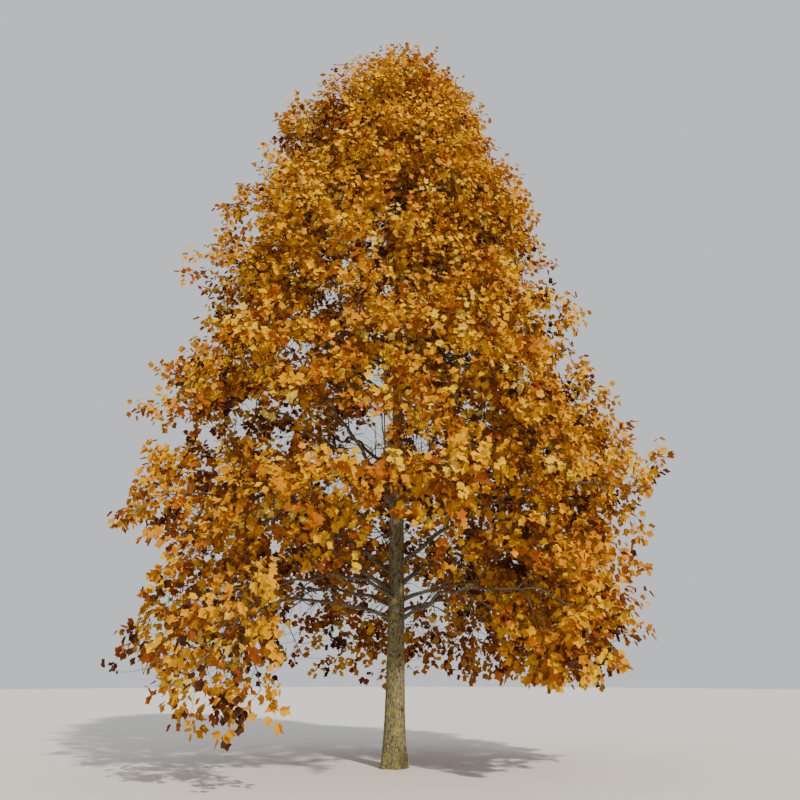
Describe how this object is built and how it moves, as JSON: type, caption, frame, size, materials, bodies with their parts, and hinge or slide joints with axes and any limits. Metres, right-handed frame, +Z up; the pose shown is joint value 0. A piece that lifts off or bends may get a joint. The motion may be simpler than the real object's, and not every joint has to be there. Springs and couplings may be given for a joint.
{
  "type": "tulip tree in autumn leaf",
  "caption": "Tall broadleaf tree with one straight trunk, low spreading boughs and a full, broadly conical crown of golden autumn leaves.",
  "frame": {"origin": "centre of the trunk's flat cut at ground level", "axes": "+Z up the trunk; the front, as seen in the picture, faces -Y and the tree's right in the picture is +X"},
  "size_m": [9.7276, 9.4459, 14.3941],
  "materials": {
    "bark": "grey-brown bark with fine upright furrows and yellow-green lichen",
    "golden_leaves": "golden yellow autumn leaves, slightly waxy",
    "orange_leaves": "golden orange autumn leaves, slightly waxy",
    "russet_leaves": "russet autumn leaves, matt",
    "straw_leaves": "pale straw autumn leaves, slightly waxy",
    "brown_leaves": "brown dried leaves in the crown's shade, matt"
  },
  "bodies": {
    "root": {"trunk": "bark", "bough_skirt_1": "bark", "bough_skirt_2": "bark", "bough_skirt_3": "bark", "bough_skirt_4": "bark", "bough_skirt_5": "bark", "bough_skirt_6": "bark", "bough_skirt_7": "bark", "bough_low_1": "bark", "bough_low_2": "bark", "bough_low_3": "bark", "bough_low_4": "bark", "bough_low_5": "bark", "bough_low_6": "bark", "bough_middle_1": "bark", "bough_middle_2": "bark", "bough_middle_3": "bark", "bough_middle_4": "bark", "bough_middle_5": "bark", "bough_middle_6": "bark", "bough_shoulder_1": "bark", "bough_shoulder_2": "bark", "bough_shoulder_3": "bark", "bough_shoulder_4": "bark", "bough_shoulder_5": "bark", "leaves_skirt_1": "golden_leaves", "leaves_skirt_2": "orange_leaves", "leaves_skirt_3": "russet_leaves", "leaves_skirt_4": "straw_leaves", "leaves_skirt_5": "brown_leaves", "leaves_skirt_6": "golden_leaves", "leaves_skirt_7": "orange_leaves", "leaves_low_1": "russet_leaves", "leaves_low_2": "straw_leaves", "leaves_low_3": "brown_leaves", "leaves_low_4": "golden_leaves", "leaves_low_5": "orange_leaves", "leaves_low_6": "russet_leaves", "leaves_middle_1": "straw_leaves", "leaves_middle_2": "brown_leaves", "leaves_middle_3": "golden_leaves", "leaves_middle_4": "orange_leaves", "leaves_middle_5": "russet_leaves", "leaves_middle_6": "straw_leaves", "leaves_shoulder_1": "brown_leaves", "leaves_shoulder_2": "golden_leaves", "leaves_shoulder_3": "orange_leaves", "leaves_shoulder_4": "russet_leaves", "leaves_shoulder_5": "straw_leaves", "leaves_upper_1": "brown_leaves", "leaves_upper_2": "golden_leaves", "leaves_upper_3": "orange_leaves", "leaves_upper_4": "russet_leaves", "leaves_upper_5": "straw_leaves", "leaves_high_1": "brown_leaves", "leaves_high_2": "golden_leaves", "leaves_high_3": "orange_leaves", "leaves_high_4": "russet_leaves", "leaves_leader": "straw_leaves"}
  },
  "joints": []
}
